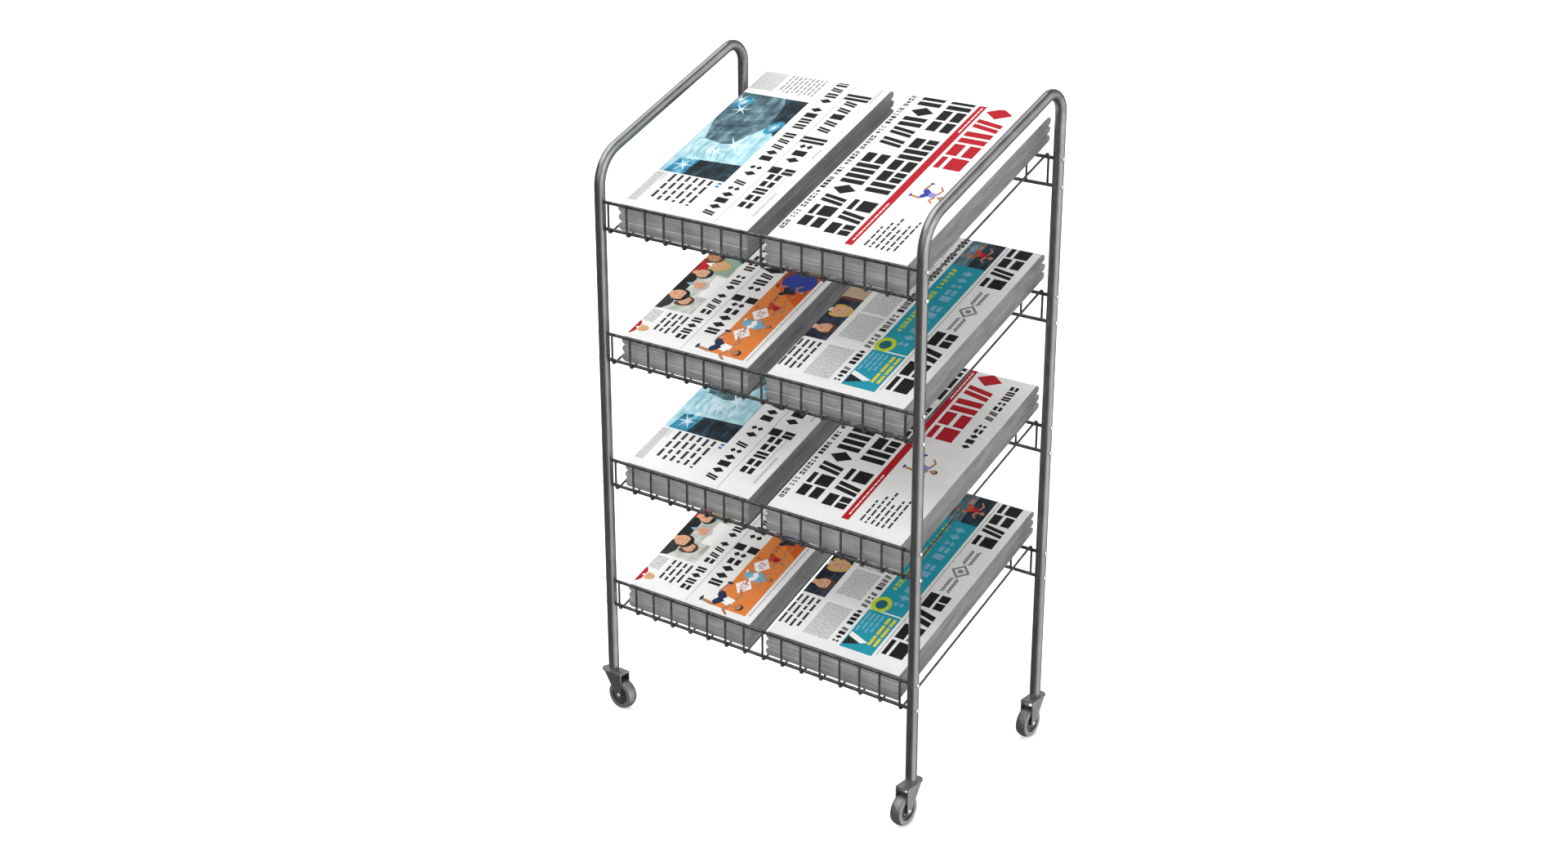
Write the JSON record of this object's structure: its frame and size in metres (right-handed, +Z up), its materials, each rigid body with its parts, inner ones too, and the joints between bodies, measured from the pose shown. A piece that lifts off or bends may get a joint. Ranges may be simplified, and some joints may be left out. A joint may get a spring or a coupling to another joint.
{
  "type": "newspaper rack",
  "caption": "Mobile newspaper rack: bent-tube side frames joined by sloping wire trays that hold folded newspapers, on swivel casters.",
  "frame": {"origin": "on the floor, midway between the four legs", "axes": "+Z up; the front, where the trays are lowest, faces -Y; +X to the right of a person facing the front"},
  "size_m": [0.6999, 0.479, 1.1685],
  "materials": {
    "tube_finish": "satin gunmetal lacquer over brushed tube",
    "wire_finish": "satin dark grey",
    "zinc_screw": "bright zinc plate",
    "plain_steel": "turned",
    "fork_paint": "semi-gloss",
    "bright_steel": "bright zinc plate",
    "tyre_rubber": "grey non-marking rubber",
    "hub_plastic": "moulded grey",
    "newsprint": "uncoated newsprint"
  },
  "bodies": {
    "rack_frame": {"side_frame_left": "tube_finish", "side_frame_right": "tube_finish", "tray_1_front_rails": "wire_finish", "tray_1_back_rails": "wire_finish", "tray_1_cross_wires": "wire_finish", "tray_1_screws": "zinc_screw", "tray_2_front_rails": "wire_finish", "tray_2_back_rails": "wire_finish", "tray_2_cross_wires": "wire_finish", "tray_2_screws": "zinc_screw", "tray_3_front_rails": "wire_finish", "tray_3_back_rails": "wire_finish", "tray_3_cross_wires": "wire_finish", "tray_3_screws": "zinc_screw", "tray_4_front_rails": "wire_finish", "tray_4_back_rails": "wire_finish", "tray_4_cross_wires": "wire_finish", "tray_4_screws": "zinc_screw", "leg_insert_front_left": "tube_finish", "caster_stem_front_left": "plain_steel", "swivel_bearing_front_left": "plain_steel", "leg_insert_front_right": "tube_finish", "caster_stem_front_right": "plain_steel", "swivel_bearing_front_right": "plain_steel", "leg_insert_back_left": "tube_finish", "caster_stem_back_left": "plain_steel", "swivel_bearing_back_left": "plain_steel", "leg_insert_back_right": "tube_finish", "caster_stem_back_right": "plain_steel", "swivel_bearing_back_right": "plain_steel"},
    "paper_stack_1_left": {"newspapers_1_left": "newsprint"},
    "paper_stack_1_right": {"newspapers_1_right": "newsprint"},
    "paper_stack_2_left": {"newspapers_2_left": "newsprint"},
    "paper_stack_2_right": {"newspapers_2_right": "newsprint"},
    "paper_stack_3_left": {"newspapers_3_left": "newsprint"},
    "paper_stack_3_right": {"newspapers_3_right": "newsprint"},
    "paper_stack_4_left": {"newspapers_4_left": "newsprint"},
    "paper_stack_4_right": {"newspapers_4_right": "newsprint"},
    "fork_front_left": {"caster_fork_front_left": "fork_paint", "axle_bolt_front_left": "bright_steel", "axle_nut_front_left": "bright_steel"},
    "wheel_front_left": {"tyre_front_left": "tyre_rubber", "wheel_hub_front_left": "hub_plastic"},
    "fork_front_right": {"caster_fork_front_right": "fork_paint", "axle_bolt_front_right": "bright_steel", "axle_nut_front_right": "bright_steel"},
    "wheel_front_right": {"tyre_front_right": "tyre_rubber", "wheel_hub_front_right": "hub_plastic"},
    "fork_back_left": {"caster_fork_back_left": "fork_paint", "axle_bolt_back_left": "bright_steel", "axle_nut_back_left": "bright_steel"},
    "wheel_back_left": {"tyre_back_left": "tyre_rubber", "wheel_hub_back_left": "hub_plastic"},
    "fork_back_right": {"caster_fork_back_right": "fork_paint", "axle_bolt_back_right": "bright_steel", "axle_nut_back_right": "bright_steel"},
    "wheel_back_right": {"tyre_back_right": "tyre_rubber", "wheel_hub_back_right": "hub_plastic"}
  },
  "joints": [
    {"name": "lift_papers_1_left", "type": "slide", "parent": "rack_frame", "child": "paper_stack_1_left", "axis": [0, 0, 1], "range_m": [0, 0.12]},
    {"name": "lift_papers_1_right", "type": "slide", "parent": "rack_frame", "child": "paper_stack_1_right", "axis": [0, 0, 1], "range_m": [0, 0.12]},
    {"name": "lift_papers_2_left", "type": "slide", "parent": "rack_frame", "child": "paper_stack_2_left", "axis": [0, 0, 1], "range_m": [0, 0.12]},
    {"name": "lift_papers_2_right", "type": "slide", "parent": "rack_frame", "child": "paper_stack_2_right", "axis": [0, 0, 1], "range_m": [0, 0.12]},
    {"name": "lift_papers_3_left", "type": "slide", "parent": "rack_frame", "child": "paper_stack_3_left", "axis": [0, 0, 1], "range_m": [0, 0.12]},
    {"name": "lift_papers_3_right", "type": "slide", "parent": "rack_frame", "child": "paper_stack_3_right", "axis": [0, 0, 1], "range_m": [0, 0.12]},
    {"name": "lift_papers_4_left", "type": "slide", "parent": "rack_frame", "child": "paper_stack_4_left", "axis": [0, 0, 1], "range_m": [0, 0.12]},
    {"name": "lift_papers_4_right", "type": "slide", "parent": "rack_frame", "child": "paper_stack_4_right", "axis": [0, 0, 1], "range_m": [0, 0.12]},
    {"name": "swivel_front_left", "type": "hinge", "parent": "rack_frame", "child": "fork_front_left", "pos_m": [-0.33, -0.192, 0.0695], "axis": [0, 0, 1], "continuous": true},
    {"name": "roll_front_left", "type": "hinge", "parent": "fork_front_left", "child": "wheel_front_left", "pos_m": [-0.31, -0.192, 0.0275], "axis": [0, 1, 0], "continuous": true},
    {"name": "swivel_front_right", "type": "hinge", "parent": "rack_frame", "child": "fork_front_right", "pos_m": [0.33, -0.192, 0.0695], "axis": [0, 0, 1], "continuous": true},
    {"name": "roll_front_right", "type": "hinge", "parent": "fork_front_right", "child": "wheel_front_right", "pos_m": [0.33, -0.212, 0.0275], "axis": [1, 0, 0], "continuous": true},
    {"name": "swivel_back_left", "type": "hinge", "parent": "rack_frame", "child": "fork_back_left", "pos_m": [-0.33, 0.192, 0.0695], "axis": [0, 0, 1], "continuous": true},
    {"name": "roll_back_left", "type": "hinge", "parent": "fork_back_left", "child": "wheel_back_left", "pos_m": [-0.33, 0.212, 0.0275], "axis": [1, 0, 0], "continuous": true},
    {"name": "swivel_back_right", "type": "hinge", "parent": "rack_frame", "child": "fork_back_right", "pos_m": [0.33, 0.192, 0.0695], "axis": [0, 0, 1], "continuous": true},
    {"name": "roll_back_right", "type": "hinge", "parent": "fork_back_right", "child": "wheel_back_right", "pos_m": [0.33, 0.172, 0.0275], "axis": [1, 0, 0], "continuous": true}
  ]
}
